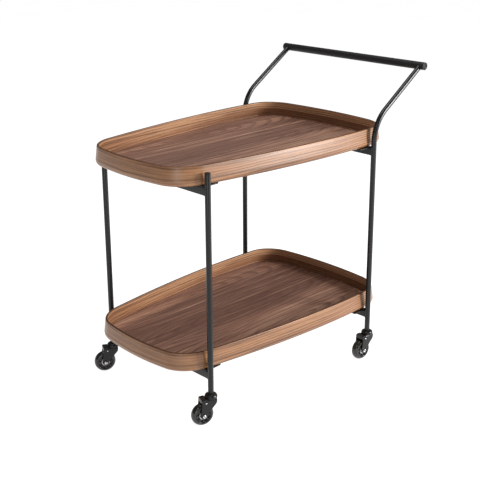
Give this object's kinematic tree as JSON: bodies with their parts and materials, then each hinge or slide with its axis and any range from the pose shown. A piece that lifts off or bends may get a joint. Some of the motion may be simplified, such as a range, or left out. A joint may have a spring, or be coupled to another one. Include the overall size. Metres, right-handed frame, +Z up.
{
  "type": "bar cart",
  "caption": "Two-tier bar cart on swivel casters: bowed walnut trays, wider at the handle end, in a slim black tube frame with a raised push handle.",
  "frame": {"origin": "middle of the footprint box, on the floor under the wheels", "axes": "+X along the length towards the push handle, +Y across the cart, +Z up"},
  "size_m": [0.8718, 0.5416, 0.8433],
  "materials": {
    "walnut_wall": "satin walnut veneer, grain running round the wall",
    "walnut_floor": "satin walnut veneer, grain along the length",
    "black_steel": "satin black powder coat",
    "black_grip": "matte black powder coat",
    "black_plastic": "moulded, matte",
    "bright_steel": "bright zinc plate",
    "smoked_tyre": "glossy polyurethane",
    "gloss_hub": "moulded, glossy"
  },
  "bodies": {
    "cart": {"lower_tray_wall": "walnut_wall", "lower_tray_floor": "walnut_floor", "upper_tray_wall": "walnut_wall", "upper_tray_floor": "walnut_floor", "lower_front_crossbar": "black_steel", "lower_handle_crossbar": "black_steel", "lower_screw_front_left": "bright_steel", "lower_screw_front_right": "bright_steel", "lower_screw_handle_left": "bright_steel", "lower_screw_handle_right": "bright_steel", "upper_front_crossbar": "black_steel", "upper_handle_crossbar": "black_steel", "upper_screw_front_left": "bright_steel", "upper_screw_front_right": "bright_steel", "upper_screw_handle_left": "bright_steel", "upper_screw_handle_right": "bright_steel", "front_leg_left": "black_steel", "leg_cap_left": "black_plastic", "handle_leg_left": "black_steel", "handle_plug_left": "black_plastic", "front_leg_right": "black_steel", "leg_cap_right": "black_plastic", "handle_leg_right": "black_steel", "handle_plug_right": "black_plastic", "handle_bar": "black_grip", "leg_insert_front_left": "black_plastic", "caster_stem_front_left": "black_steel", "leg_insert_front_right": "black_plastic", "caster_stem_front_right": "black_steel", "leg_insert_handle_left": "black_plastic", "caster_stem_handle_left": "black_steel", "leg_insert_handle_right": "black_plastic", "caster_stem_handle_right": "black_steel"},
    "swivel_front_left": {"fork_front_left": "black_steel", "axle_bolt_front_left": "bright_steel"},
    "wheel_front_left": {"tyre_front_left": "smoked_tyre", "hub_front_left": "gloss_hub", "bearing_outer_front_left": "bright_steel", "bearing_inner_front_left": "bright_steel"},
    "swivel_front_right": {"fork_front_right": "black_steel", "axle_bolt_front_right": "bright_steel"},
    "wheel_front_right": {"tyre_front_right": "smoked_tyre", "hub_front_right": "gloss_hub", "bearing_outer_front_right": "bright_steel", "bearing_inner_front_right": "bright_steel"},
    "swivel_handle_left": {"fork_handle_left": "black_steel", "axle_bolt_handle_left": "bright_steel"},
    "wheel_handle_left": {"tyre_handle_left": "smoked_tyre", "hub_handle_left": "gloss_hub", "bearing_outer_handle_left": "bright_steel", "bearing_inner_handle_left": "bright_steel"},
    "swivel_handle_right": {"fork_handle_right": "black_steel", "axle_bolt_handle_right": "bright_steel"},
    "wheel_handle_right": {"tyre_handle_right": "smoked_tyre", "hub_handle_right": "gloss_hub", "bearing_outer_handle_right": "bright_steel", "bearing_inner_handle_right": "bright_steel"}
  },
  "joints": [
    {"name": "swivel_front_left", "type": "hinge", "parent": "cart", "child": "swivel_front_left", "pos_m": [-0.34656, 0.20519, 0.07], "axis": [0, 0, 1], "continuous": true},
    {"name": "roll_front_left", "type": "hinge", "parent": "swivel_front_left", "child": "wheel_front_left", "pos_m": [-0.36903, 0.21615, 0.03], "axis": [-0.4384, -0.8988, 0], "continuous": true},
    {"name": "swivel_front_right", "type": "hinge", "parent": "cart", "child": "swivel_front_right", "pos_m": [-0.34656, -0.20512, 0.07], "axis": [0, 0, 1], "continuous": true},
    {"name": "roll_front_right", "type": "hinge", "parent": "swivel_front_right", "child": "wheel_front_right", "pos_m": [-0.37005, -0.19657, 0.03], "axis": [-0.342, -0.9397, 0], "continuous": true},
    {"name": "swivel_handle_left", "type": "hinge", "parent": "cart", "child": "swivel_handle_left", "pos_m": [0.22644, 0.25249, 0.07], "axis": [0, 0, 1], "continuous": true},
    {"name": "roll_handle_left", "type": "hinge", "parent": "swivel_handle_left", "child": "wheel_handle_left", "pos_m": [0.20153, 0.25031, 0.03], "axis": [0.0872, -0.9962, 0], "continuous": true},
    {"name": "swivel_handle_right", "type": "hinge", "parent": "cart", "child": "swivel_handle_right", "pos_m": [0.22644, -0.25242, 0.07], "axis": [0, 0, 1], "continuous": true},
    {"name": "roll_handle_right", "type": "hinge", "parent": "swivel_handle_right", "child": "wheel_handle_right", "pos_m": [0.20153, -0.25025, 0.03], "axis": [-0.0872, -0.9962, 0], "continuous": true}
  ]
}
